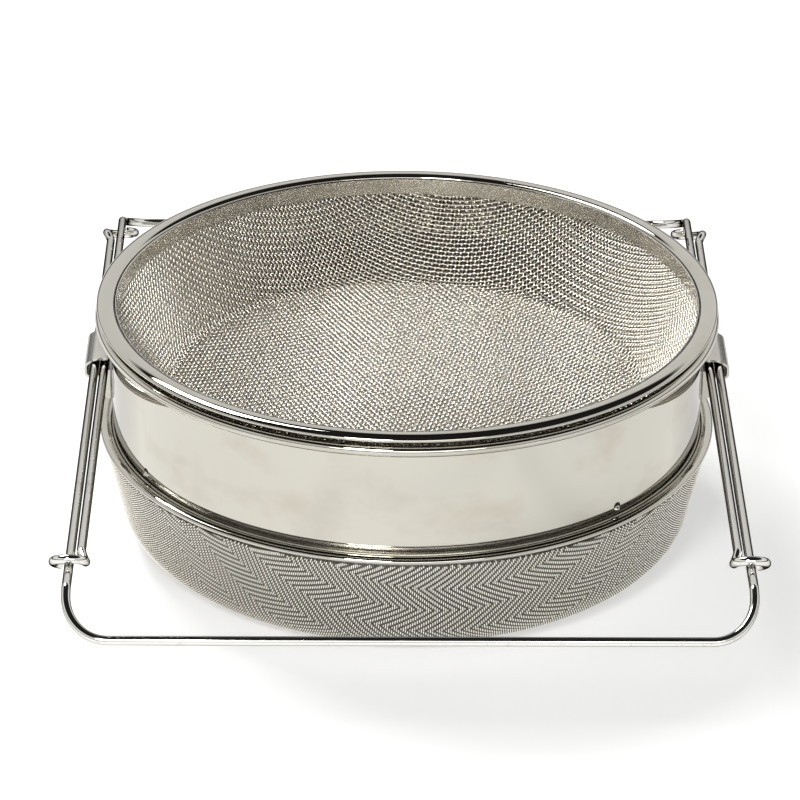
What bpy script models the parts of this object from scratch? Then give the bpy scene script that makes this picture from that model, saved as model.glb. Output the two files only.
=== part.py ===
"""Double sieve strainer: a coarse sieve over a fine one, on two sliding wire bails.

Metres, +Z up. The origin is the middle of the flat floor that the strainer stands on. The front bail
points along -Y. Heights below are measured down from the top of the upper rim, as a fitter would.
"""

from math import atan2, cos, hypot, pi, radians, sin, tan

import bmesh
import bpy
from mathutils import Vector

# Driving dimensions
TOTAL_HEIGHT = 0.0985
RIM_OUTER_R = 0.1203
RIM_HEIGHT = 0.0032
RIM_SECTION_POINTS = 10
GAP = 0.0003
RING_STEPS = 60

# Upper sieve
UPPER_RIM_INNER_R = 0.1133
COLLAR_SHEET = 0.0005
UPPER_COLLAR_INNER_R = 0.1125
UPPER_COLLAR_TOP = 0.0012
UPPER_COLLAR_BOTTOM = 0.0080
UPPER_WALL_TOP_R = 0.1137
UPPER_WALL_FOOT_R = 0.0915
UPPER_SKIRT_DEPTH = 0.0083
UPPER_FLOOR_DEPTH = 0.0380
UPPER_FLOOR_FILLET = 0.0055

# Band
BAND_OUTER_R = 0.1151
BAND_SHEET = 0.0006
BAND_BOTTOM = 0.0476
BEAD_R = 0.0022
BEAD_OUTER_R = 0.1210
BEAD_CENTRE_DEPTH = 0.0065
BEAD_SECTION_POINTS = 7

# Lower sieve
LOWER_RIM_INNER_R = 0.1144
LOWER_RIM_TOP = 0.0506
LOWER_COLLAR_INNER_R = 0.1136
LOWER_COLLAR_TOP = 0.0440
LOWER_COLLAR_BOTTOM = 0.0570
LOWER_WALL_TOP_R = 0.1182
LOWER_WALL_FOOT_R = 0.1090
LOWER_SKIRT_DEPTH = 0.0560
LOWER_FLOOR_FILLET = 0.0185
CLOTH = 0.0008
FILLET_POINTS = 4

# Wire bails
WIRE_R = 0.0017
WIRE_DEPTH = 0.0252
FRONT_LEG_X = 0.1210
REAR_LEG_X = 0.11725
FRONT_BEND_Y = -0.1865
REAR_BEND_Y = 0.1230
FRONT_EYE_Y = -0.1680
REAR_EYE_Y = 0.1110
NOSE_LENGTH = 0.0220
NOSE_DROP_ANGLE = radians(27.3)
NOSE_BEND_R = 0.0040
CORNER_ALONG = 0.0190
CORNER_ACROSS = 0.0155
EYE_R = 0.00575
REAR_EYE_LONG_R = 0.0072
FRONT_EYE_TILT = radians(39.3)
REAR_EYE_TILT = radians(30.0)
EYE_LEAD_IN = 0.0090
REAR_EYE_TURNS = (0.0, radians(250))
FRONT_EYE_TURNS = (radians(180), radians(416))

# Brackets
BRACKET_SHEET = 0.0009
BRACKET_HALF_WIDTH = 0.0130
BRACKET_TOP_DEPTH = 0.0125
BRACKET_ROOF_DEPTH = 0.0220
BRACKET_FLOOR_DEPTH = 0.0294
BRACKET_BASE_X = 0.11595
BRACKET_OUTER_X = 0.1246
BRACKET_SHOULDER = (0.0038, 0.0025)
BRACKET_LIP_X = 0.1190
BRACKET_FOLD = 0.0010
FOOT_HALF_WIDTH = 0.0060
FOOT_INNER_X = 0.11555
FOOT_TOP_DEPTH = 0.0300
FOOT_BOTTOM_DEPTH = 0.0425
FOOT_THICKNESS = (0.00225, 0.00305, 0.00275, 0.00145)
FOOT_CORNER_DEPTHS = (0.0304, 0.0360, 0.0412)


# Colours and roughness
POLISHED_STEEL = ((0.78, 0.77, 0.75), 0.12)
SATIN_STEEL = ((0.62, 0.61, 0.58), 0.30)
WOVEN_STEEL = ((0.55, 0.53, 0.49), 0.35)
BRIGHT_WIRE = ((0.82, 0.82, 0.81), 0.08)


def clear_scene():
    for old in list(bpy.data.objects):
        bpy.data.objects.remove(old, do_unlink=True)


def steel(name, colour, roughness):
    material = bpy.data.materials.new(name)
    material.use_nodes = True
    surface = material.node_tree.nodes["Principled BSDF"]
    surface.inputs["Base Color"].default_value = (*colour, 1.0)
    surface.inputs["Metallic"].default_value = 1.0
    surface.inputs["Roughness"].default_value = roughness
    material.diffuse_color = (*colour, 1.0)
    return material


def height(depth):
    """The height above the floor of a point this far below the top of the upper rim."""
    return TOTAL_HEIGHT - depth


def add_solid(name, bm, material, smooth_angle=40.0):
    bmesh.ops.remove_doubles(bm, verts=bm.verts, dist=1e-6)
    bmesh.ops.recalc_face_normals(bm, faces=bm.faces)
    mesh = bpy.data.meshes.new(name)
    bm.to_mesh(mesh)
    bm.free()
    mesh.shade_smooth()
    mesh.set_sharp_from_angle(angle=radians(smooth_angle))
    mesh.materials.append(material)
    solid = bpy.data.objects.new(name, mesh)
    bpy.context.collection.objects.link(solid)
    return solid


def turned(name, outline, material, closed=True):
    """A ring or bowl: an outline of (radius, height) points, spun about the vertical axis."""
    bm = bmesh.new()
    corners = [bm.verts.new((radius, 0.0, level)) for radius, level in outline]
    pairs = list(zip(corners, corners[1:]))
    if closed:
        pairs.append((corners[-1], corners[0]))
    edges = [bm.edges.new(pair) for pair in pairs]
    bmesh.ops.spin(bm, geom=corners + edges, axis=(0, 0, 1), cent=(0, 0, 0), angle=2 * pi,
                   steps=RING_STEPS, use_merge=True)
    return add_solid(name, bm, material)


def rim_section(inner_r, top_depth):
    """The rolled rim's oval section."""
    middle_r = (inner_r + RIM_OUTER_R) / 2
    half_width = (RIM_OUTER_R - inner_r) / 2
    points = []
    for i in range(RIM_SECTION_POINTS):
        turn = 2 * pi * i / RIM_SECTION_POINTS
        points.append((middle_r + half_width * cos(turn),
                       height(top_depth + RIM_HEIGHT / 2) + RIM_HEIGHT / 2 * sin(turn)))
    return points


def band_section():
    """The band's sheet, with its top edge rolled outwards into a bead."""
    bead_r = BEAD_OUTER_R - BEAD_R
    inner_r = BAND_OUTER_R - BAND_SHEET
    points = [(inner_r, height(BAND_BOTTOM)), (BAND_OUTER_R, height(BAND_BOTTOM)),
              (BAND_OUTER_R, height(BEAD_CENTRE_DEPTH + BEAD_R))]
    for i in range(BEAD_SECTION_POINTS):
        turn = radians(-110 + 230 * i / (BEAD_SECTION_POINTS - 1))
        points.append((bead_r + BEAD_R * cos(turn), height(BEAD_CENTRE_DEPTH) + BEAD_R * sin(turn)))
    points.append((inner_r, height(BEAD_CENTRE_DEPTH)))
    return points


def collar_section(inner_r, top_depth, bottom_depth):
    outer_r = inner_r + COLLAR_SHEET
    return [(inner_r, height(bottom_depth)), (outer_r, height(bottom_depth)),
            (outer_r, height(top_depth)), (inner_r, height(top_depth))]


def basket_side(top_r, top_depth, skirt_depth, foot_r, floor_depth, fillet, offset):
    """One face of a basket's cloth, from its top edge down to the middle of its floor.

    The middle of the cloth hangs straight down to skirt_depth, leans in towards (foot_r, floor_depth),
    and turns round a fillet into the flat floor. The face lies offset outside it.
    """
    lean = atan2(top_r - foot_r, floor_depth - skirt_depth)
    flat_r = foot_r - fillet / tan((pi / 2 + lean) / 2)
    points = [(top_r + offset, height(top_depth)),
              (top_r + offset, height(skirt_depth + offset * tan(lean / 2)))]
    for i in range(FILLET_POINTS + 1):
        turn = lean + (pi / 2 - lean) * i / FILLET_POINTS
        points.append((flat_r + (fillet + offset) * cos(turn),
                       height(floor_depth - fillet + (fillet + offset) * sin(turn))))
    points.append((0.0, height(floor_depth + offset)))
    return points


def basket(name, top_r, top_depth, skirt_depth, foot_r, floor_depth, fillet, material):
    sides = [basket_side(top_r, top_depth, skirt_depth, foot_r, floor_depth, fillet, offset)
             for offset in (CLOTH / 2, -CLOTH / 2)]
    return turned(name, sides[0][::-1] + sides[1], material, closed=False)


def nose_point(bend_y, outwards, along, x):
    """A point of a bail's nose, this far along its slope from the bend."""
    return Vector((x, bend_y + outwards * along * cos(NOSE_DROP_ANGLE),
                   height(WIRE_DEPTH) - along * sin(NOSE_DROP_ANGLE)))


def nose_points(leg_x, bend_y, outwards):
    """The right half of a bail's nose: from the middle of the crossbar, round the corner to the bend."""
    points = [nose_point(bend_y, outwards, NOSE_LENGTH, 0.0)]
    steps = 7
    for i in range(steps + 1):
        turn = pi / 2 * i / steps
        points.append(nose_point(bend_y, outwards, NOSE_LENGTH - CORNER_ALONG * (1 - cos(turn)),
                                 leg_x - CORNER_ACROSS * (1 - sin(turn))))
    reach = NOSE_BEND_R * tan(NOSE_DROP_ANGLE / 2)
    centre_y = bend_y - outwards * reach
    for i in (2, 1, 0):
        turn = NOSE_DROP_ANGLE * i / 2
        points.append(Vector((leg_x, centre_y + outwards * NOSE_BEND_R * sin(turn),
                              height(WIRE_DEPTH) - NOSE_BEND_R * (1 - cos(turn)))))
    return points


def eye_points(leg_x, other_x, eye_y, tilt, long_r, outwards, start_turn, end_turn):
    """A leg's end: it leans aside, and bends round the other bail's leg in a tilted, open loop."""
    centre = Vector((other_x, eye_y, height(WIRE_DEPTH)))
    across = Vector((1.0, 0.0, 0.0))
    rearwards = Vector((0.0, cos(tilt), -sin(tilt)))

    def on_loop(turn):
        return centre + across * EYE_R * cos(turn) + rearwards * long_r * sin(turn)

    start = on_loop(start_turn)
    lead = Vector((leg_x, start.y + outwards * EYE_LEAD_IN, height(WIRE_DEPTH)))
    run = (start - lead).length
    heading_in = Vector((0.0, -outwards, 0.0)) * run
    heading_out = rearwards * (-outwards) * run
    points = [lead]
    for t in (0.25, 0.5, 0.75):
        points.append(lead * (2 * t**3 - 3 * t**2 + 1) + heading_in * (t**3 - 2 * t**2 + t)
                      + start * (3 * t**2 - 2 * t**3) + heading_out * (t**3 - t**2))
    steps = 12
    for i in range(steps + 1):
        points.append(on_loop(start_turn + (end_turn - start_turn) * i / steps))
    return points


def wire(name, half, material):
    """A round wire along the right half of a route and its mirror image."""
    left = [Vector((-p.x, p.y, p.z)) for p in half[:0:-1]]
    route = left + half
    curve = bpy.data.curves.new(name, "CURVE")
    curve.dimensions = "3D"
    curve.bevel_depth = WIRE_R
    curve.bevel_resolution = 2
    curve.use_fill_caps = True
    spline = curve.splines.new("POLY")
    spline.points.add(len(route) - 1)
    for point, place in zip(spline.points, route):
        point.co = (*place, 1.0)
    curve.materials.append(material)
    bail = bpy.data.objects.new(name, curve)
    bpy.context.collection.objects.link(bail)
    return bail


def strip(name, centre_line, sheet, half_width, side, material):
    """Folded sheet: a centre line of (x, depth) points, given a thickness and a width along Y."""
    normals = []
    for i, (x, depth) in enumerate(centre_line):
        before = centre_line[max(i - 1, 0)]
        after = centre_line[min(i + 1, len(centre_line) - 1)]
        directions = []
        for a, b in ((before, (x, depth)), ((x, depth), after)):
            run = hypot(b[0] - a[0], b[1] - a[1])
            if run > 0:
                directions.append(((b[0] - a[0]) / run, (b[1] - a[1]) / run))
        dx = sum(d[0] for d in directions) / len(directions)
        dz = sum(d[1] for d in directions) / len(directions)
        spread = dx * dx + dz * dz
        normals.append((-dz / spread, dx / spread))
    outline = [(x + n[0] * sheet / 2, d + n[1] * sheet / 2) for (x, d), n in zip(centre_line, normals)]
    outline += [(x - n[0] * sheet / 2, d - n[1] * sheet / 2)
                for (x, d), n in zip(centre_line[::-1], normals[::-1])]
    return prism(name, outline, half_width, side, material)


def prism(name, outline, half_width, side, material):
    """An outline of (x, depth) points, extruded along Y, on the right (1) or left (-1) side."""
    bm = bmesh.new()
    corners = [bm.verts.new((side * x, -half_width, height(depth))) for x, depth in outline]
    face = bm.faces.new(corners)
    moved = bmesh.ops.extrude_face_region(bm, geom=[face])["geom"]
    bmesh.ops.translate(bm, vec=(0, 2 * half_width, 0),
                        verts=[v for v in moved if isinstance(v, bmesh.types.BMVert)])
    return add_solid(name, bm, material)


def sleeve_line():
    """The middle of a bracket's sheet: down the band, out over the two wires, down and back under them."""
    shoulder_in, shoulder_down = BRACKET_SHOULDER
    return [(BRACKET_BASE_X, BRACKET_TOP_DEPTH), (BRACKET_BASE_X, BRACKET_ROOF_DEPTH),
            (BRACKET_OUTER_X - shoulder_in, BRACKET_ROOF_DEPTH),
            (BRACKET_OUTER_X, BRACKET_ROOF_DEPTH + shoulder_down),
            (BRACKET_OUTER_X, BRACKET_FLOOR_DEPTH - BRACKET_FOLD),
            (BRACKET_OUTER_X - BRACKET_FOLD, BRACKET_FLOOR_DEPTH), (BRACKET_LIP_X, BRACKET_FLOOR_DEPTH)]


def foot_outline():
    """A strip that bulges away from the band and comes back to it at its lower end."""
    outer = zip(FOOT_THICKNESS, (*FOOT_CORNER_DEPTHS, FOOT_BOTTOM_DEPTH))
    outline = [(FOOT_INNER_X, FOOT_TOP_DEPTH)]
    outline += [(FOOT_INNER_X + thickness, depth) for thickness, depth in outer]
    return outline + [(FOOT_INNER_X, FOOT_BOTTOM_DEPTH)]


def build():
    clear_scene()
    polished = steel("polished_steel", *POLISHED_STEEL)
    brushed = steel("satin_steel", *SATIN_STEEL)
    cloth = steel("woven_steel", *WOVEN_STEEL)
    chrome = steel("bright_wire", *BRIGHT_WIRE)

    # Upper sieve
    turned("upper_rim", rim_section(UPPER_RIM_INNER_R, 0.0), polished)
    turned("upper_collar",
           collar_section(UPPER_COLLAR_INNER_R, UPPER_COLLAR_TOP, UPPER_COLLAR_BOTTOM), brushed)
    basket("upper_mesh", UPPER_WALL_TOP_R, RIM_HEIGHT + GAP, UPPER_SKIRT_DEPTH, UPPER_WALL_FOOT_R,
           UPPER_FLOOR_DEPTH, UPPER_FLOOR_FILLET, cloth)

    # Band with its brackets
    turned("band", band_section(), polished)
    for side, word in ((-1, "left"), (1, "right")):
        strip(f"bracket_{word}", sleeve_line(), BRACKET_SHEET, BRACKET_HALF_WIDTH, side, brushed)
        prism(f"bracket_foot_{word}", foot_outline(), FOOT_HALF_WIDTH, side, brushed)

    # Lower sieve
    turned("lower_rim", rim_section(LOWER_RIM_INNER_R, LOWER_RIM_TOP), polished)
    turned("lower_collar",
           collar_section(LOWER_COLLAR_INNER_R, LOWER_COLLAR_TOP, LOWER_COLLAR_BOTTOM), brushed)
    basket("lower_mesh", LOWER_WALL_TOP_R, LOWER_RIM_TOP + RIM_HEIGHT + GAP, LOWER_SKIRT_DEPTH,
           LOWER_WALL_FOOT_R, TOTAL_HEIGHT - CLOTH / 2, LOWER_FLOOR_FILLET, cloth)

    # Bails
    front = nose_points(FRONT_LEG_X, FRONT_BEND_Y, -1)
    front += eye_points(FRONT_LEG_X, REAR_LEG_X, REAR_EYE_Y, REAR_EYE_TILT, REAR_EYE_LONG_R, -1,
                        *REAR_EYE_TURNS)
    wire("frame_front", front, chrome)
    rear = nose_points(REAR_LEG_X, REAR_BEND_Y, 1)
    rear += eye_points(REAR_LEG_X, FRONT_LEG_X, FRONT_EYE_Y, FRONT_EYE_TILT, EYE_R, 1,
                       *FRONT_EYE_TURNS)
    wire("frame_rear", rear, chrome)


build()
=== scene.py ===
"""The visual model of the double sieve strainer, with its studio and camera.

Lengths are in metres. A depth is measured down from the top of the upper rim, and colours are linear.
"""
from math import atan2, cos, hypot, pi, radians, sin, tan

import bpy
import numpy as np
from mathutils import Matrix, Vector


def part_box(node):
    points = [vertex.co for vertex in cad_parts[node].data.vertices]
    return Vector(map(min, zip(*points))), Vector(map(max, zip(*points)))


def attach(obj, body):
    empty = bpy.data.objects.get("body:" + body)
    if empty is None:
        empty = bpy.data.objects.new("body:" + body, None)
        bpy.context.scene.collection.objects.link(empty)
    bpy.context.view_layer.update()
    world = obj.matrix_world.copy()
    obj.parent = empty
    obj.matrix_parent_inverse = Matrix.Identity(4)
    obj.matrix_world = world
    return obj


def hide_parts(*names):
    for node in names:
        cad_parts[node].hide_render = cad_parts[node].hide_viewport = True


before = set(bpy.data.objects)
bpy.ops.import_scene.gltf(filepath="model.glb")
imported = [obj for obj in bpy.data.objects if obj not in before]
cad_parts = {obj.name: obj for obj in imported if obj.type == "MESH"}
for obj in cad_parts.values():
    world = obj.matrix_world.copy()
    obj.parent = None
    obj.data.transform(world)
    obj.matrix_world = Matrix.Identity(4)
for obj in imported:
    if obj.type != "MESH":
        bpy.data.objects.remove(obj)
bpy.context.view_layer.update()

TOTAL_HEIGHT = 0.0985
# How many steps a turned piece has round its axis
TURN_STEPS = 288


def height(depth):
    """The height above the floor of a point this far below the top of the upper rim."""
    return TOTAL_HEIGHT - depth


# ---------------------------------------------------------------- materials

class Nodes:
    """A material's node tree, with short ways to add nodes and link them."""

    def __init__(self, name, colour, roughness, metallic=1.0, edge_tint=(1.0, 1.0, 1.0)):
        self.material = bpy.data.materials.new(name)
        self.material.use_nodes = True
        self.tree = self.material.node_tree
        self.surface = self.tree.nodes["Principled BSDF"]
        self.surface.inputs["Base Color"].default_value = (*colour, 1.0)
        self.surface.inputs["Roughness"].default_value = roughness
        self.surface.inputs["Metallic"].default_value = metallic
        self.surface.inputs["Specular Tint"].default_value = (*edge_tint, 1.0)

    def add(self, kind, **settings):
        node = self.tree.nodes.new(kind)
        for key, value in settings.items():
            if hasattr(node, key):
                setattr(node, key, value)
            else:
                node.inputs[key].default_value = value
        return node

    def link(self, out, into):
        self.tree.links.new(out, into)

    def object_coords(self, stretch=(1.0, 1.0, 1.0)):
        where = self.add("ShaderNodeTexCoord")
        mapping = self.add("ShaderNodeMapping")
        mapping.inputs["Scale"].default_value = stretch
        self.link(where.outputs["Object"], mapping.inputs["Vector"])
        return mapping.outputs["Vector"]

    def turned_coords(self, around, along_z):
        """Coordinates that run round the Z axis, for marks left by polishing a turned piece."""
        where = self.add("ShaderNodeTexCoord")
        split = self.add("ShaderNodeSeparateXYZ")
        self.link(where.outputs["Object"], split.inputs["Vector"])
        angle = self.add("ShaderNodeMath", operation="ARCTAN2")
        self.link(split.outputs["Y"], angle.inputs[0])
        self.link(split.outputs["X"], angle.inputs[1])
        joined = self.add("ShaderNodeCombineXYZ")
        for axis, wrap in (("X", "COSINE"), ("Y", "SINE")):
            wrapped = self.add("ShaderNodeMath", operation=wrap)
            self.link(angle.outputs[0], wrapped.inputs[0])
            self.link(self.multiplied(wrapped.outputs[0], around), joined.inputs[axis])
        self.link(self.multiplied(split.outputs["Z"], along_z), joined.inputs["Z"])
        return joined.outputs["Vector"]

    def multiplied(self, value, by):
        node = self.add("ShaderNodeMath", operation="MULTIPLY")
        node.inputs[1].default_value = by
        self.link(value, node.inputs[0])
        return node.outputs[0]

    def noise(self, vector, scale, detail, roughness=0.55):
        node = self.add("ShaderNodeTexNoise", Scale=scale, Detail=detail, Roughness=roughness)
        self.link(vector, node.inputs["Vector"])
        return node.outputs["Fac"]

    def ramp(self, value, low, high, low_at, high_at):
        """Maps a value from low_at..high_at to low..high, clamped."""
        node = self.add("ShaderNodeMapRange")
        node.inputs["From Min"].default_value = low_at
        node.inputs["From Max"].default_value = high_at
        node.inputs["To Min"].default_value = low
        node.inputs["To Max"].default_value = high
        self.link(value, node.inputs["Value"])
        return node.outputs["Result"]

    def mix_colour(self, factor, one, other):
        node = self.add("ShaderNodeMix", data_type="RGBA")
        node.inputs[6].default_value = (*one, 1.0)
        node.inputs[7].default_value = (*other, 1.0)
        self.link(factor, node.inputs[0])
        return node.outputs[2]

    def paint_edge_shade(self, colour, dark, starts, ends):
        """Painted shade: the colour goes down to dark where the surface turns away, as in a dark studio.
        """
        turned_away = self.add("ShaderNodeLayerWeight", Blend=0.5).outputs["Facing"]
        node = self.add("ShaderNodeMix", data_type="RGBA")
        node.inputs[7].default_value = (*dark, 1.0)
        self.link(self.ramp(turned_away, 0.0, 1.0, starts, ends), node.inputs[0])
        self.link(colour, node.inputs[6])
        self.link(node.outputs[2], self.surface.inputs["Base Color"])

    def bump(self, value, strength, distance):
        node = self.add("ShaderNodeBump", Strength=strength, Distance=distance)
        self.link(value, node.inputs["Height"])
        self.link(node.outputs["Normal"], self.surface.inputs["Normal"])


# The third colour on each of the next three lines is painted shade, for where a surface turns away from
# the camera
POLISHED, WATER_STAIN, POLISHED_EDGE_PAINTED_SHADE = (0.555, 0.535, 0.475), (0.49, 0.455, 0.38), (0.10, 0.09, 0.07)
SATIN, DULL_PATCH, SATIN_EDGE_PAINTED_SHADE = (0.56, 0.545, 0.50), (0.50, 0.48, 0.43), (0.12, 0.11, 0.09)
WIRE, RUBBED_SPOT, WIRE_EDGE_PAINTED_SHADE = (0.76, 0.75, 0.71), (0.52, 0.48, 0.41), (0.02, 0.018, 0.014)
# Painted shade: a dark edge tint that darkens the wire's reflections where it turns away
WIRE_EDGE_PAINTED_SHADE_TINT = (0.12, 0.10, 0.08)
# The cloths' colours: a brightened lit copy for the crowns and a dark copy of painted shade for the wires
# lying low
COARSE_LIT_CROWNS, COARSE_PAINTED_SHADE = (0.95, 0.915, 0.83), (0.13, 0.115, 0.09)
FINE_LIT_CROWNS, FINE_PAINTED_SHADE = (0.97, 0.945, 0.88), (0.17, 0.16, 0.135)
WARM_CAST, NO_CAST = (1.0, 0.93, 0.82), (1.0, 1.0, 1.0)
SLIT_SHADOW = (0.03, 0.028, 0.024)
PAPER = (0.90, 0.90, 0.895)


def polished_steel():
    """Spun and polished sheet: a mirror with faint turning lines, slow waves and dry water stains."""
    m = Nodes("polished_steel", POLISHED, roughness=0.05)
    stains = m.noise(m.object_coords((1.0, 1.0, 1.6)), scale=32.0, detail=4.0, roughness=0.6)
    stained = m.ramp(stains, low=0.0, high=0.9, low_at=0.5, high_at=0.75)
    # Painted shade: the colour darkens where the sheet turns away from the camera
    m.paint_edge_shade(m.mix_colour(stained, POLISHED, WATER_STAIN), POLISHED_EDGE_PAINTED_SHADE, starts=0.62, ends=0.92)
    haze = m.noise(m.object_coords(), scale=38.0, detail=3.0)
    lines = m.noise(m.turned_coords(around=5.0, along_z=2600.0), scale=1.0, detail=3.0, roughness=0.6)
    rough = m.add("ShaderNodeMath", operation="ADD")
    m.link(m.ramp(haze, low=0.015, high=0.045, low_at=0.3, high_at=0.8), rough.inputs[0])
    m.link(m.ramp(lines, low=0.0, high=0.012, low_at=0.35, high_at=0.8), rough.inputs[1])
    m.link(rough.outputs[0], m.surface.inputs["Roughness"])
    waves = m.noise(m.object_coords((1.0, 1.0, 0.6)), scale=24.0, detail=1.0)
    m.bump(waves, strength=0.05, distance=0.0012)
    return m.material


def satin_steel():
    """Rolled sheet, cut and folded: fine mill grain along its length, dull patches where it was bent."""
    m = Nodes("satin_steel", SATIN, roughness=0.24)
    patches = m.noise(m.object_coords(), scale=140.0, detail=4.0)
    dulled = m.ramp(patches, low=0.0, high=1.0, low_at=0.35, high_at=0.75)
    # Painted shade: the colour darkens where the sheet turns away from the camera
    m.paint_edge_shade(m.mix_colour(dulled, SATIN, DULL_PATCH), SATIN_EDGE_PAINTED_SHADE, starts=0.6, ends=0.95)
    grain = m.noise(m.object_coords((1.0, 1.0, 14.0)), scale=420.0, detail=3.0)
    m.link(m.ramp(grain, low=0.16, high=0.28, low_at=0.3, high_at=0.75), m.surface.inputs["Roughness"])
    m.bump(grain, strength=0.25, distance=0.00006)
    return m.material


def bright_wire():
    """Drawn and polished wire: a bright mirror with hair-fine die lines and a few dull rubbed spots."""
    # Painted shade: the dark edge tint darkens the reflections towards the wire's edges
    m = Nodes("bright_wire", WIRE, roughness=0.06, edge_tint=WIRE_EDGE_PAINTED_SHADE_TINT)
    rubs = m.noise(m.object_coords((1.0, 0.35, 1.0)), scale=210.0, detail=4.0, roughness=0.65)
    rubbed = m.ramp(rubs, low=0.0, high=1.0, low_at=0.60, high_at=0.78)
    # Painted shade: the colour darkens where the wire turns away from the camera
    m.paint_edge_shade(m.mix_colour(rubbed, WIRE, RUBBED_SPOT), WIRE_EDGE_PAINTED_SHADE, starts=0.58, ends=0.80)
    m.link(m.ramp(rubs, low=0.045, high=0.19, low_at=0.45, high_at=0.80), m.surface.inputs["Roughness"])
    die_lines = m.noise(m.object_coords((1.0, 0.03, 1.0)), scale=2600.0, detail=2.0)
    m.bump(die_lines, strength=0.06, distance=0.00003)
    return m.material


def wire_cloth(name, colour, roughness):
    """Woven wire, with a warm cast at grazing angles that drifts over the cloth."""
    m = Nodes(name, colour, roughness)
    drift = m.noise(m.object_coords(), scale=30.0, detail=3.0)
    drift = m.ramp(drift, low=0.0, high=1.0, low_at=0.35, high_at=0.65)
    m.link(m.mix_colour(drift, WARM_CAST, NO_CAST), m.surface.inputs["Specular Tint"])
    return m.material


# ---------------------------------------------------------------- mesh building

def make_piece(name, points, faces, materials, body, nodes, slot, sharp=None, choice=None):
    """A piece from points and faces (an array of quads, or a list), shaded smooth.

    materials is a list; choice gives each face's place in it, when there is more than one. Edges
    sharper than sharp degrees stay sharp.
    """
    mesh = bpy.data.meshes.new(name)
    if isinstance(faces, np.ndarray):
        mesh.vertices.add(len(points))
        mesh.vertices.foreach_set("co", np.asarray(points, np.float32).ravel())
        corners = faces.shape[1]
        mesh.loops.add(faces.size)
        mesh.loops.foreach_set("vertex_index", faces.astype(np.int32).ravel())
        mesh.polygons.add(len(faces))
        mesh.polygons.foreach_set("loop_start", np.arange(0, faces.size, corners, dtype=np.int32))
        if choice is not None:
            mesh.polygons.foreach_set("material_index", choice.astype(np.int32))
        mesh.update(calc_edges=True)
        mesh.validate()
    else:
        mesh.from_pydata([tuple(p) for p in points], [], faces)
        mesh.update()
    mesh.shade_smooth()
    if sharp:
        mesh.set_sharp_from_angle(angle=radians(sharp))
    for material in materials:
        mesh.materials.append(material)
    piece = bpy.data.objects.new(name, mesh)
    bpy.context.collection.objects.link(piece)
    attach(piece, body)
    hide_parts(*nodes)
    return piece


def turned(outline):
    """Points and quads of a closed outline of (radius, height), spun about the Z axis."""
    outline = np.array(outline)
    angles = np.arange(TURN_STEPS)[:, None] * 2 * pi / TURN_STEPS
    radius = np.repeat(outline[None, :, 0], TURN_STEPS, 0)
    level = np.repeat(outline[None, :, 1], TURN_STEPS, 0)
    points = np.stack([radius * np.cos(angles), radius * np.sin(angles), level], -1)
    n = len(outline)
    i, j = np.meshgrid(np.arange(TURN_STEPS), np.arange(n), indexing="ij")
    i2, j2 = (i + 1) % TURN_STEPS, (j + 1) % n
    quads = np.stack([i * n + j, i2 * n + j, i2 * n + j2, i * n + j2], -1).reshape(-1, 4)
    return points.reshape(-1, 3), quads


def rings_to_quads(rings, sides, first):
    """Quads between successive rings of one tube, whose points start at number first."""
    i, j = np.meshgrid(np.arange(rings - 1), np.arange(sides), indexing="ij")
    j2 = (j + 1) % sides
    quads = np.stack([i * sides + j, i * sides + j2, (i + 1) * sides + j2, (i + 1) * sides + j], -1)
    return quads.reshape(-1, 4) + first


CUT_END_ROUNDING = 0.12


def tube(route, radius, sides):
    """Points and faces of a round wire along a route, with slightly rounded cut ends."""
    points, faces = [], []
    tangents = []
    for i in range(len(route)):
        tangents.append((route[min(i + 1, len(route) - 1)] - route[max(i - 1, 0)]).normalized())
    side = tangents[0].orthogonal().normalized()
    rounding = CUT_END_ROUNDING * radius
    rings = [(route[0], tangents[0], radius - rounding)]
    rings += [(p, t, radius) for p, t in zip(route, tangents)]
    rings += [(route[-1], tangents[-1], radius - rounding)]
    rings[1] = (route[0] + tangents[0] * rounding, tangents[0], radius)
    rings[-2] = (route[-1] - tangents[-1] * rounding, tangents[-1], radius)
    for centre, tangent, r in rings:
        side = (side - tangent * side.dot(tangent)).normalized()
        other = tangent.cross(side)
        for k in range(sides):
            turn = 2 * pi * k / sides
            points.append(centre + side * (r * cos(turn)) + other * (r * sin(turn)))
    for i in range(len(rings) - 1):
        for k in range(sides):
            k2 = (k + 1) % sides
            faces.append((i * sides + k, i * sides + k2, (i + 1) * sides + k2, (i + 1) * sides + k))
    faces.append(tuple(range(sides))[::-1])
    last = (len(rings) - 1) * sides
    faces.append(tuple(last + k for k in range(sides)))
    return points, faces


# ---------------------------------------------------------------- wire cloth

# How far short of the basket's edge the wires end
CLOTH_HEM = 0.0004
# The step along the cloth from which its slope is taken
NUDGE = 1e-4
FILLET_STEPS = 20


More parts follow.
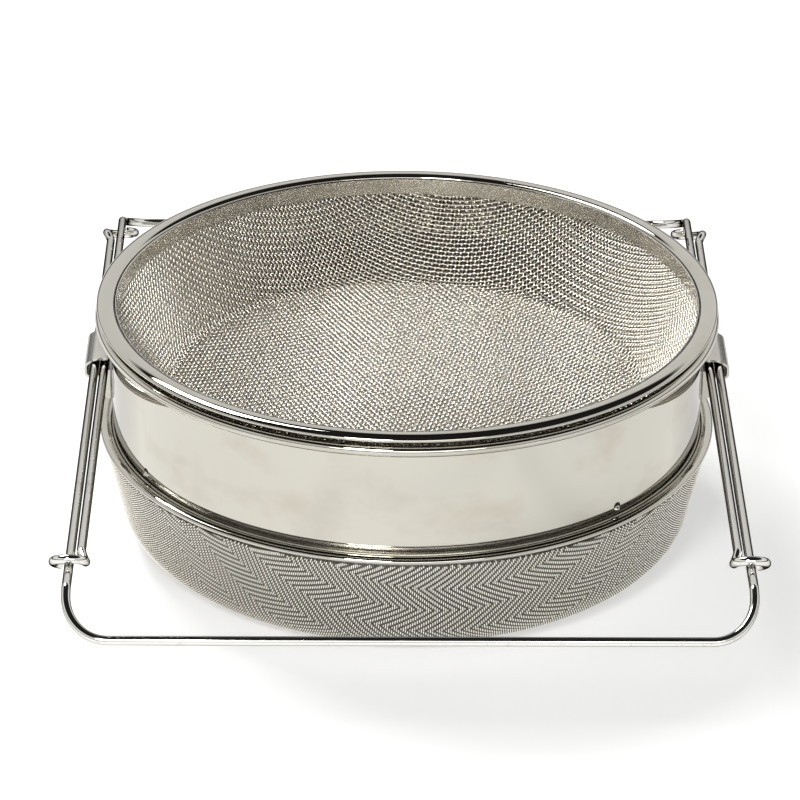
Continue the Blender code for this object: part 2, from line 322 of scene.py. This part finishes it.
class Basket:
    """The surface of a pressed wire-cloth basket: a flat floor, a leaning wall and a short skirt.

    Its section is kept by the distance along the cloth from its middle. foot_r is where floor and wall
    would meet if there were no fillet between them.
    """

    def __init__(self, top_r, top_depth, skirt_depth, foot_r, floor_depth, fillet, seen_from_inside):
        self.seen_from_inside = seen_from_inside
        lean = atan2(top_r - foot_r, floor_depth - skirt_depth)
        flat_r = foot_r - fillet / tan((pi / 2 + lean) / 2)
        line = [(0.0, floor_depth), (flat_r, floor_depth)]
        for turn in np.linspace(pi / 2, lean, FILLET_STEPS)[1:]:
            line.append((flat_r + fillet * cos(turn), floor_depth - fillet + fillet * sin(turn)))
        line += [(top_r, skirt_depth), (top_r, top_depth)]
        line = np.array(line)
        self.radius = line[:, 0]
        self.level = height(line[:, 1])
        self.along = np.r_[0.0, np.cumsum(np.hypot(*np.diff(line, axis=0).T))]
        self.reach = self.along[-1]

    def place(self, u, v, lift):
        """Where (u, v) on the flat cloth goes to, lifted off the surface by lift, and its normal."""
        rho = np.hypot(u, v)
        (r_in, z_in), (r, z), (r_out, z_out) = (
            (np.interp(at, self.along, self.radius), np.interp(at, self.along, self.level))
            for at in (rho - NUDGE, rho, rho + NUDGE))
        at_middle = rho < NUDGE
        dr = np.where(at_middle, NUDGE, r_out - r_in)
        dz = np.where(at_middle, 0.0, z_out - z_in)
        size = np.hypot(dr, dz)
        dr, dz = dr / size, dz / size
        divisor = np.where(rho > 0.0, rho, 1.0)
        cos_a, sin_a = u / divisor, v / divisor
        normal = np.stack([-dz * cos_a, -dz * sin_a, dr], -1)
        return np.stack([r * cos_a, r * sin_a, z], -1) + normal * lift[..., None], normal


PLAN_ROUNDS = 12
# More wires and crossings than the basket's reach would need, because they run slantwise
SPARE_WIRES, SPARE_CROSSINGS = 1.25, 1.6
FEWEST_RINGS = 4


class Weave:
    """Two families of wires, the warp and the weft.

    A point's counts of wires from the middle are linear in its place (u, v) on the flat cloth, with a
    bow that bends the weft a little: warp and weft are wires per metre along u and v. Each of diameters,
    crimps and the painted shade threshold has a value for the warp and one for the weft. A crimp is how
    far a wire rides off the middle surface, and a wire lower, on the side seen, than that threshold's
    share of its crimp has the cloth's dark copy of painted shade, the rest its lit copy.
    """

    def __init__(self, warp, weft, bow, diameters, crimps, painted_shade_below):
        self.warp, self.weft, self.bow = warp, weft, bow
        self.diameters, self.crimps, self.painted_shade_below = diameters, crimps, painted_shade_below

    def plan(self, a, d):
        """The place (u, v) on the flat cloth that has these counts."""
        u, v = np.zeros_like(a), np.zeros_like(a)
        for _ in range(PLAN_ROUNDS):
            u = (a - self.warp[1] * v) / self.warp[0]
            v = (d - self.weft[0] * u - self.bow * u * u) / self.weft[1]
        return u, v


def plain_lift(i, j):
    """How high the warp rides at crossing (i, j), from -1 to 1: over every other weft wire."""
    return np.cos(pi * (i + j))


HERRINGBONE_BAND = 16
FLOAT_LENGTHENING = 1.42


def herringbone_lift(i, j):
    """The same for two over, two under, stepping one on for each weft wire.

    The step's sense turns from band to band of weft wires.
    """
    band = HERRINGBONE_BAND
    folded = np.abs((j + band) % (2 * band) - band)
    phase = (i + folded) % 4
    return np.clip(FLOAT_LENGTHENING * np.cos(pi / 2 * (phase - 0.5)), -1.0, 1.0)


def woven_wires(basket, weave, which, numbers, lift_at, samples, sides):
    """Points and quads of the numbered warp or weft wires, and which quads lie low in the weave and get
    painted shade.

    which is 0 for the warp and 1 for the weft; samples is how many rings a wire has from one crossing
    to the next.
    """
    across_others = (weave.weft, weave.warp)[which]
    crossings = int(basket.reach * hypot(*across_others) * SPARE_CROSSINGS)
    steps = np.arange(-crossings * samples, crossings * samples + 1) / samples
    turns = (np.arange(sides) + 0.5) * 2 * pi / sides
    all_points, all_quads, all_in_painted_shade, used = [], [], [], 0
    for number in numbers:
        own = np.full_like(steps, float(number))
        a, d = (own, steps) if which == 0 else (steps, own)
        u, v = weave.plan(a, d)
        inside = np.flatnonzero(np.hypot(u, v) < basket.reach - CLOTH_HEM)
        if len(inside) < FEWEST_RINGS:
            continue
        keep = slice(inside[0], inside[-1] + 1)
        lift = lift_at(a[keep], d[keep]) * (1.0, -1.0)[which]
        centre, normal = basket.place(u[keep], v[keep], weave.crimps[which] * lift)
        tangent = np.gradient(centre, axis=0)
        tangent /= np.linalg.norm(tangent, axis=1)[:, None]
        binormal = np.cross(tangent, normal)
        binormal /= np.linalg.norm(binormal, axis=1)[:, None]
        upward = np.cross(binormal, tangent)
        ring = (upward[:, None, :] * np.cos(turns)[None, :, None]
                + binormal[:, None, :] * np.sin(turns)[None, :, None])
        points = centre[:, None, :] + weave.diameters[which] / 2 * ring
        all_points.append(points.reshape(-1, 3))
        all_quads.append(rings_to_quads(len(centre), sides, used)[:, ::-1])
        height_seen = lift if basket.seen_from_inside else -lift
        # Painted shade: quads lying low on the side seen get the cloth's dark copy
        in_painted_shade = (height_seen[1:] + height_seen[:-1]) / 2 < weave.painted_shade_below[which]
        all_in_painted_shade.append(np.repeat(in_painted_shade, sides))
        used += len(centre) * sides
    if not all_points:
        return None
    return np.concatenate(all_points), np.concatenate(all_quads), np.concatenate(all_in_painted_shade)


def weave_basket(stem, basket, weave, lift_at, samples, sides, groups, materials, body, node, slot):
    """A basket's warp and weft, each in groups of neighbouring wires."""
    for which, (word, across) in enumerate((("warp", weave.warp), ("weft", weave.weft))):
        most = int(basket.reach * hypot(*across) * SPARE_WIRES) + 4
        numbers = np.arange(-most, most + 1)
        for g, part in enumerate(np.array_split(numbers, groups)):
            built = woven_wires(basket, weave, which, part, lift_at, samples[which], sides)
            if built:
                points, quads, painted_shade_faces = built
                make_piece(f"{stem}_{word}_{g + 1}", points, quads, materials, body, [node], slot,
                           choice=painted_shade_faces)


# ---------------------------------------------------------------- the sieves

RIM_OUTER_R = 0.1203
RIM_HEIGHT = 0.0031
RIM_STEPS = 40
# Powers of the section's two halves: 2 is an ellipse, and more is squarer
INNER_POWER, OUTER_POWER = 2.6, 2.0
UPPER_RIM_INNER_R, LOWER_RIM_INNER_R = 0.1133, 0.1144
UPPER_COLLAR_INNER_R, LOWER_COLLAR_INNER_R = 0.1125, 0.1136
COLLAR_SHEET, COLLAR_EDGE = 0.0005, 0.0002

UPPER_BASKET = Basket(top_r=0.1137, top_depth=0.0035, skirt_depth=0.0083, foot_r=0.0915,
                      floor_depth=0.0380, fillet=0.0055, seen_from_inside=True)
UPPER_WEAVE = Weave(warp=(586.0, -129.0), weft=(164.0, 551.0), bow=-1750.0,
                    diameters=(0.00064, 0.00074), crimps=(0.00026, 0.00037), painted_shade_below=(0.3, -0.5))
LOWER_BASKET = Basket(top_r=0.1182, top_depth=0.0541, skirt_depth=0.0560, foot_r=0.1090,
                      floor_depth=0.09802, fillet=0.0185, seen_from_inside=False)
# The weft lies straight, deep between the warp wires' floats, and is all in the painted shade material
LOWER_WEAVE = Weave(warp=(1120.0, 60.0), weft=(-220.0, 1500.0), bow=0.0,
                    diameters=(0.00056, 0.00036), crimps=(0.00026, 0.00005), painted_shade_below=(0.1, 2.0))

SEAM_ANGLE = radians(-23.8)
SEAM_HALF_WIDTH = 0.0007
# The seam end's four corners: out from the rim's outer edge, aside in half widths, down from its top
SEAM_CORNERS = ((-0.0017, 0.0, 0.00045), (0.00005, -1.0, 0.0012), (0.00005, 1.0, 0.0012),
                (-0.0004, 0.0, 0.0024))


def rim_outline(inner_r, top):
    """The rolled rim's section: a flattened oval."""
    middle_r, half_width = (inner_r + RIM_OUTER_R) / 2, (RIM_OUTER_R - inner_r) / 2
    outline = []
    for turn in np.arange(RIM_STEPS) * 2 * pi / RIM_STEPS:
        c, s = cos(turn), sin(turn)
        power = OUTER_POWER if c > 0 else INNER_POWER
        size = (abs(c) ** power + abs(s) ** power) ** (-1 / power)
        outline.append((middle_r + half_width * c * size, top - RIM_HEIGHT / 2 * (1 - s * size)))
    return outline


def collar_outline(inner_r, top, bottom):
    """The section of a short cylinder of sheet, its inner edges cut back a little."""
    outer_r = inner_r + COLLAR_SHEET
    return [(inner_r, bottom + COLLAR_EDGE), (inner_r + COLLAR_EDGE, bottom), (outer_r, bottom),
            (outer_r, top), (inner_r + COLLAR_EDGE, top), (inner_r, top - COLLAR_EDGE)]


def rim_seam(top):
    """The small bright end of the seam where the rolled rim's two ends meet."""
    points = []
    for outwards, aside, drop in SEAM_CORNERS:
        r, turn = RIM_OUTER_R + outwards, SEAM_ANGLE + aside * SEAM_HALF_WIDTH / RIM_OUTER_R
        points.append((r * cos(turn), r * sin(turn), top - drop))
    return points, [(0, 1, 2), (1, 3, 2), (0, 3, 1), (0, 2, 3)]


def rolled_rim(level, inner_r, polished):
    """The upper or lower sieve's rim. Gives the height of its top."""
    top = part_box(f"{level}_rim")[1][2]
    make_piece(f"{level}_rolled_rim", *turned(rim_outline(inner_r, top)), [polished],
               f"{level}_sieve", [f"{level}_rim"], "polished_steel", sharp=60)
    return top


def pinch_collar(level, inner_r, satin):
    """The collar inside the upper or lower sieve's rim."""
    low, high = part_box(f"{level}_collar")
    make_piece(f"{level}_pinch_collar", *turned(collar_outline(inner_r, high[2], low[2])), [satin],
               f"{level}_sieve", [f"{level}_collar"], "satin_steel", sharp=40)


def upper_sieve(polished, satin):
    top = rolled_rim("upper", UPPER_RIM_INNER_R, polished)
    make_piece("rim_seam_end", *rim_seam(top), [satin], "upper_sieve", ["upper_rim"], "polished_steel")
    pinch_collar("upper", UPPER_COLLAR_INNER_R, satin)
    # Painted light: the cloth's lit copy for the crowns and its dark copy of painted shade for the low
    # wires
    cloths = [wire_cloth("coarse_cloth", COARSE_LIT_CROWNS, roughness=0.22),
              wire_cloth("coarse_cloth_painted_shade", COARSE_PAINTED_SHADE, roughness=0.35)]
    weave_basket("upper_cloth", UPPER_BASKET, UPPER_WEAVE, plain_lift, samples=(4, 4), sides=5, groups=8,
                 materials=cloths, body="upper_sieve", node="upper_mesh", slot="coarse_cloth")


def lower_sieve(polished, satin):
    rolled_rim("lower", LOWER_RIM_INNER_R, polished)
    pinch_collar("lower", LOWER_COLLAR_INNER_R, satin)
    # Painted light: the cloth's lit copy for the crowns and its dark copy of painted shade for the low
    # wires
    cloths = [wire_cloth("fine_cloth", FINE_LIT_CROWNS, roughness=0.28),
              wire_cloth("fine_cloth_painted_shade", FINE_PAINTED_SHADE, roughness=0.45)]
    weave_basket("lower_cloth", LOWER_BASKET, LOWER_WEAVE, herringbone_lift, samples=(2, 1), sides=4,
                 groups=18, materials=cloths, body="lower_sieve", node="lower_mesh", slot="fine_cloth")


# ---------------------------------------------------------------- band and brackets

BAND_INNER_R, BAND_OUTER_R = 0.1145, 0.1151
# How far the band goes on below the CAD part's, to close the seam above the lower rim
BAND_REACH = 0.0009
BAND_EDGE = 0.0002
BAND_ROWS, FIRST_ROW = 24, 0.001
BEAD_R = 0.0021
BEAD_STARTS, BEAD_ENDS, BEAD_STEPS = radians(-95), radians(165), 26
# The neck where the sheet flares out into the bead, from its foot's place below the bead's middle
NECK_DROP, NECK_HEIGHT, NECK_FLARE = 0.0042, 0.0020, 0.0009
# The inside of the band below the bead's middle: the bead's foot and the first row
BEAD_FOOT_DROP, THROAT_DROP = 0.0008, 0.003
CURVE_STEPS = 6

# The sleeve's folds: x, depth and the fold's radius, from the band outwards and back under the wires
SLEEVE_FOLDS = ((0.11595, 0.0125, 0.0), (0.11595, 0.0220, 0.0006), (0.1208, 0.0220, 0.0012),
                (0.1246, 0.0245, 0.0012), (0.1246, 0.0284, 0.0006), (0.1236, 0.0294, 0.0006),
                (0.1190, 0.0294, 0.0))
SLEEVE_SHEET, SLEEVE_HALF_WIDTH, SLEEVE_BEVEL = 0.0009, 0.0130, 0.0002

# The two catches seen in front, and two more at the back
CATCH_ANGLES = (-149.7, -47.0, 41.0, 125.0)
CATCH_HALF_WIDTH, CATCH_HEIGHT, CATCH_REACH, CATCH_SHEET = 0.0014, 0.0036, 0.0012, 0.0004
# The tongue's top and how far it falls, and the dark sheet of painted shade for the opening behind it, in
# parts of the catch's size
TONGUE_TOP, TONGUE_FALL = 0.62, 0.42
OPENING_MIDDLE, OPENING_HALF_HEIGHT, OPENING_WIDTH = 0.58, 0.42, 1.15
OPENING_PROUD = 0.00008
# How far below the band's lower edge the catches are measured from
CATCH_DROP = 0.0009


def band_outline():
    low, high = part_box("band")
    low_z = low[2] - BAND_REACH
    bead_r, bead_z = high[0] - BEAD_R, high[2] - BEAD_R
    neck_z = bead_z - NECK_DROP
    outline = [(BAND_INNER_R, low_z + BAND_EDGE), (BAND_INNER_R + BAND_EDGE, low_z),
               (BAND_OUTER_R - BAND_EDGE / 2, low_z), (BAND_OUTER_R, low_z + BAND_EDGE)]
    outline += [(BAND_OUTER_R, z) for z in np.linspace(low_z + FIRST_ROW, neck_z, BAND_ROWS)]
    for t in np.linspace(0.0, 1.0, CURVE_STEPS):
        outline.append((BAND_OUTER_R + NECK_FLARE * t ** 2, neck_z + NECK_HEIGHT * t))
    for turn in np.linspace(BEAD_STARTS, BEAD_ENDS, BEAD_STEPS):
        outline.append((bead_r + BEAD_R * cos(turn), bead_z + BEAD_R * sin(turn)))
    outline.append((BAND_INNER_R, bead_z - BEAD_FOOT_DROP))
    inside = np.linspace(bead_z - THROAT_DROP, low_z + FIRST_ROW, BAND_ROWS)
    outline += [(BAND_INNER_R, z) for z in inside]
    return outline


def folded_line(folds):
    """The points of a line of (x, depth, radius) corners, each corner rounded by its radius."""
    corners = [np.array((x, depth)) for x, depth, _ in folds]
    line = [corners[0]]
    for before, here, after, (_, _, radius) in zip(corners, corners[1:], corners[2:], folds[1:]):
        start = here + (before - here) / np.linalg.norm(before - here) * radius
        end = here + (after - here) / np.linalg.norm(after - here) * radius
        for t in np.linspace(0.0, 1.0, CURVE_STEPS):
            line.append((1 - t) ** 2 * start + 2 * t * (1 - t) * here + t ** 2 * end)
    return np.array(line + [corners[-1]])


def sleeve(side):
    """A folded sheet sleeve: down the band, out over the two wires, down and back under them."""
    line = folded_line(SLEEVE_FOLDS)
    tangent = np.gradient(line, axis=0)
    tangent /= np.linalg.norm(tangent, axis=1)[:, None]
    normal = np.stack([-tangent[:, 1], tangent[:, 0]], -1)
    half_sheet = normal * SLEEVE_SHEET / 2
    outline = np.concatenate([line + half_sheet, (line - half_sheet)[::-1]])
    count = len(outline)
    points = [(side * x, y, height(depth)) for y in (-SLEEVE_HALF_WIDTH, SLEEVE_HALF_WIDTH)
              for x, depth in outline]
    faces = [(k, (k + 1) % count, count + (k + 1) % count, count + k) for k in range(count)]
    faces += [tuple(range(count))[::-1], tuple(range(count, 2 * count))]
    return points, faces if side > 0 else [face[::-1] for face in faces]


def catch(angle, low_z):
    """A lanced catch: a tongue of the band's own sheet, cut along its lower edge and pushed out."""
    across = np.linspace(-1.0, 1.0, 13)
    down = np.linspace(0.0, 1.0, 7)
    points, faces = [], []
    for skin in (0.0, CATCH_SHEET):
        for t in down:
            for s in across:
                r = BAND_OUTER_R + CATCH_REACH * (1 - s * s) * sin(t * pi / 2) ** 1.5 - skin
                turn = radians(angle) + s * CATCH_HALF_WIDTH / BAND_OUTER_R
                z = low_z + CATCH_HEIGHT * (TONGUE_TOP - TONGUE_FALL * t)
                points.append((r * cos(turn), r * sin(turn), z))
    wide, layer = len(across), len(across) * len(down)
    for k in range(len(down) - 1):
        for i in range(wide - 1):
            a, b = k * wide + i, k * wide + i + 1
            faces.append((a, a + wide, b + wide, b))
            faces.append((layer + a, layer + b, layer + b + wide, layer + a + wide))
    for a in range(layer - wide, layer - 1):
        faces.append((a, layer + a, layer + a + 1, a + 1))
    return points, faces


def catch_opening_shade(angle, low_z):
    """A dark sheet of painted shade, for the window left in the band behind a catch."""
    r = BAND_OUTER_R + OPENING_PROUD
    points = []
    for turn in np.linspace(0.0, 2 * pi, 25)[:-1]:
        aside = radians(angle) + cos(turn) * CATCH_HALF_WIDTH * OPENING_WIDTH / BAND_OUTER_R
        z = low_z + CATCH_HEIGHT * (OPENING_MIDDLE + OPENING_HALF_HEIGHT * sin(turn))
        points.append((r * cos(aside), r * sin(aside), z))
    return points, [tuple(range(len(points)))]


def holder(polished, satin):
    make_piece("polished_band", *turned(band_outline()), [polished], "holder", ["band"], "polished_steel",
               sharp=50)
    for side, word in ((-1, "left"), (1, "right")):
        piece = make_piece(f"{word}_wire_sleeve", *sleeve(side), [satin], "holder", [f"bracket_{word}"],
                           "satin_steel", sharp=35)
        bevel = piece.modifiers.new("edges", "BEVEL")
        bevel.width = SLEEVE_BEVEL
        bevel.segments = 2
        bevel.limit_method = "ANGLE"
        bevel.angle_limit = radians(50)
        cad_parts[f"bracket_foot_{word}"].material_slots[0].material = satin
    low_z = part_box("band")[0][2] - BAND_REACH - CATCH_DROP
    # Painted shade: a dark sheet over each catch's opening, standing in for the shade inside it
    slit_shade = Nodes("catch_shadow", SLIT_SHADOW, roughness=0.6).material
    for k, angle in enumerate(CATCH_ANGLES):
        make_piece(f"lanced_catch_{k + 1}", *catch(angle, low_z), [polished], "holder", ["band"],
                   "polished_steel")
        make_piece(f"catch_opening_shade_{k + 1}", *catch_opening_shade(angle, low_z), [slit_shade], "holder", ["band"],
                   "polished_steel")


# ---------------------------------------------------------------- bails

WIRE_R = 0.0017
WIRE_SIDES = 24
WIRE_DEPTH = 0.0252
# The front bail's legs run outside the rear bail's
FRONT_LEG_X, REAR_LEG_X = 0.1210, 0.11725
FRONT_BEND_Y, REAR_BEND_Y = -0.1865, 0.1230
NOSE_LENGTH = 0.0220
NOSE_DROP_ANGLE = radians(27.3)
NOSE_BEND_R = 0.0040
CORNER_ALONG, CORNER_ACROSS = 0.0190, 0.0155
CROSSBAR_STEPS, CORNER_STEPS, BEND_STEPS, LEG_STEPS, LEAD_STEPS, EYE_STEPS = 8, 24, 7, 14, 12, 40
EYE_R = 0.00575
EYE_LEAD_IN = 0.0090


def nose_point(bend_y, outwards, along, x):
    return Vector((x, bend_y + outwards * along * cos(NOSE_DROP_ANGLE),
                   height(WIRE_DEPTH) - along * sin(NOSE_DROP_ANGLE)))


def nose_points(leg_x, bend_y, outwards):
    """The right half of a bail's nose: from the middle of the crossbar, round the corner to the bend."""
    points = [nose_point(bend_y, outwards, NOSE_LENGTH, x)
              for x in np.linspace(0.0, leg_x - CORNER_ACROSS, CROSSBAR_STEPS)[:-1]]
    for turn in np.linspace(0.0, pi / 2, CORNER_STEPS):
        points.append(nose_point(bend_y, outwards, NOSE_LENGTH - CORNER_ALONG * (1 - cos(turn)),
                                 leg_x - CORNER_ACROSS * (1 - sin(turn))))
    centre_y = bend_y - outwards * NOSE_BEND_R * tan(NOSE_DROP_ANGLE / 2)
    for turn in np.linspace(NOSE_DROP_ANGLE, 0.0, BEND_STEPS):
        points.append(Vector((leg_x, centre_y + outwards * NOSE_BEND_R * sin(turn),
                              height(WIRE_DEPTH) - NOSE_BEND_R * (1 - cos(turn)))))
    return points


def eye_points(leg_x, other_x, outwards, eye_y, tilt, long_r, start_turn, end_turn):
    """A leg's end: it leans aside, and bends round the other bail's leg in a tilted, open loop."""
    centre = Vector((other_x, eye_y, height(WIRE_DEPTH)))
    across = Vector((1.0, 0.0, 0.0))
    rearwards = Vector((0.0, cos(tilt), -sin(tilt)))

    def on_loop(turn):
        return centre + across * EYE_R * cos(turn) + rearwards * long_r * sin(turn)

    start = on_loop(start_turn)
    lead = Vector((leg_x, start.y + outwards * EYE_LEAD_IN, height(WIRE_DEPTH)))
    run = (start - lead).length
    heading_in = Vector((0.0, -outwards, 0.0)) * run
    heading_out = rearwards * (-outwards) * run
    points = [lead]
    for t in np.linspace(0.0, 1.0, LEAD_STEPS)[1:-1]:
        points.append(lead * (2 * t**3 - 3 * t**2 + 1) + heading_in * (t**3 - 2 * t**2 + t)
                      + start * (3 * t**2 - 2 * t**3) + heading_out * (t**3 - t**2))
    return points + [on_loop(turn) for turn in np.linspace(start_turn, end_turn, EYE_STEPS)]


def bail(name, nose, eye, bright, body, node):
    """A whole bail: its right half's nose and eye, the straight leg between, and their mirror image."""
    leg = [nose[-1].lerp(eye[0], t) for t in np.linspace(0.0, 1.0, LEG_STEPS)[1:-1]]
    right = nose + leg + eye
    left = [Vector((-p.x, p.y, p.z)) for p in right[:0:-1]]
    make_piece(name, *tube(left + right, WIRE_R, WIRE_SIDES), [bright], body, [node], "bright_wire",
               sharp=50)


def bails(bright):
    bail("front_wire_bail", nose_points(FRONT_LEG_X, FRONT_BEND_Y, -1),
         eye_points(FRONT_LEG_X, REAR_LEG_X, -1, eye_y=0.1110, tilt=radians(30.0), long_r=0.0072,
                    start_turn=0.0, end_turn=radians(250)),
         bright, "front_bail", "frame_front")
    bail("rear_wire_bail", nose_points(REAR_LEG_X, REAR_BEND_Y, 1),
         eye_points(REAR_LEG_X, FRONT_LEG_X, 1, eye_y=-0.1680, tilt=radians(39.3), long_r=EYE_R,
                    start_turn=radians(180), end_turn=radians(416)),
         bright, "rear_bail", "frame_rear")


# ---------------------------------------------------------------- studio

FLOOR_HALF_WIDTH = 4.0
FLOOR_GAP = 0.0004
FLOOR_GLOW = 0.34
WALL_LIGHT = 0.90
# How bright the studio is, from the sine of the angle above the floor
WALLS = ((0.0, 0.06), (0.12, 0.08), (0.17, 1.0), (0.57, 1.0), (0.63, 0.02), (1.0, 0.02))
LIGHTS_AIM = (0.0, 0.0, 0.05)

# The photographer's view, through a long lens; the object's top centre is aside of the picture's middle
LOOKS_DOWN, LOOKS_ASIDE, TILT = radians(27.0), radians(0.5), radians(0.4)
SENSOR, LENS, DISTANCE = 36.0, 193.3, 1.665
OFF_CENTRE_RIGHT, OFF_CENTRE_UP = 0.00279, 0.04089


def area_light(name, place, size, power):
    light = bpy.data.lights.new(name, "AREA")
    light.shape = "RECTANGLE"
    light.size, light.size_y = size
    light.energy = power
    lamp = bpy.data.objects.new(name, light)
    lamp.location = place
    lamp.rotation_euler = (Vector(LIGHTS_AIM) - Vector(place)).to_track_quat("-Z", "Y").to_euler()
    bpy.context.collection.objects.link(lamp)


def studio():
    floor_mesh = bpy.data.meshes.new("studio_floor")
    half = FLOOR_HALF_WIDTH
    corners = [(-half, -half, 0), (half, -half, 0), (half, half, 0), (-half, half, 0)]
    floor_mesh.from_pydata(corners, [], [(0, 1, 2, 3)])
    floor = bpy.data.objects.new("studio_floor", floor_mesh)
    floor.location.z = -FLOOR_GAP
    paper = Nodes("white_paper", PAPER, roughness=0.7, metallic=0.0)
    paper.surface.inputs["Emission Color"].default_value = (1.0, 1.0, 1.0, 1.0)
    paper.surface.inputs["Emission Strength"].default_value = FLOOR_GLOW
    floor_mesh.materials.append(paper.material)
    bpy.context.collection.objects.link(floor)

    bpy.context.scene.world = studio_walls()
    area_light("rear_left_softbox", place=(-0.65, 0.85, 1.45), size=(0.75, 0.60), power=19.0)
    area_light("front_left_softbox", place=(-0.35, -1.30, 1.15), size=(0.40, 0.40), power=9.0)
    area_light("front_strip", place=(0.0, -1.80, 0.80), size=(1.80, 0.45), power=7.0)


def studio_walls():
    """White walls all round, dark at the foot where they meet the floor, under a dark ceiling."""
    world = bpy.data.worlds.new("studio_walls")
    world.use_nodes = True
    tree = world.node_tree
    where = tree.nodes.new("ShaderNodeTexCoord")
    split = tree.nodes.new("ShaderNodeSeparateXYZ")
    ramp = tree.nodes.new("ShaderNodeValToRGB")
    tree.links.new(where.outputs["Generated"], split.inputs["Vector"])
    tree.links.new(split.outputs["Z"], ramp.inputs["Fac"])
    tree.links.new(ramp.outputs["Color"], tree.nodes["Background"].inputs["Color"])
    tree.nodes["Background"].inputs["Strength"].default_value = WALL_LIGHT
    stops = ramp.color_ramp.elements
    for stop, (rise, light) in ((stops[0], WALLS[0]), (stops[1], WALLS[-1])):
        stop.position, stop.color = rise, (light, light, light, 1.0)
    for rise, light in WALLS[1:-1]:
        stops.new(rise).color = (light, light, light, 1.0)
    return world


def camera():
    forward = Vector((sin(LOOKS_ASIDE) * cos(LOOKS_DOWN), cos(LOOKS_ASIDE) * cos(LOOKS_DOWN),
                      -sin(LOOKS_DOWN)))
    level_right = Vector((cos(LOOKS_ASIDE), -sin(LOOKS_ASIDE), 0.0))
    level_up = level_right.cross(forward)
    right = level_right * cos(TILT) + level_up * sin(TILT)
    upward = level_up * cos(TILT) - level_right * sin(TILT)
    data = bpy.data.cameras.new("studio_camera")
    data.sensor_width = SENSOR
    data.lens = LENS
    data.clip_end = 20.0
    camera_object = bpy.data.objects.new("studio_camera", data)
    camera_object.location = (Vector((0.0, 0.0, TOTAL_HEIGHT)) - right * OFF_CENTRE_RIGHT
                              - upward * OFF_CENTRE_UP - forward * DISTANCE)
    camera_object.rotation_euler = Matrix((right, upward, -forward)).transposed().to_euler()
    bpy.context.collection.objects.link(camera_object)
    bpy.context.scene.camera = camera_object
    bpy.context.scene.view_settings.view_transform = "Standard"


polished, satin = polished_steel(), satin_steel()
upper_sieve(polished, satin)
lower_sieve(polished, satin)
holder(polished, satin)
bails(bright_wire())
studio()
camera()
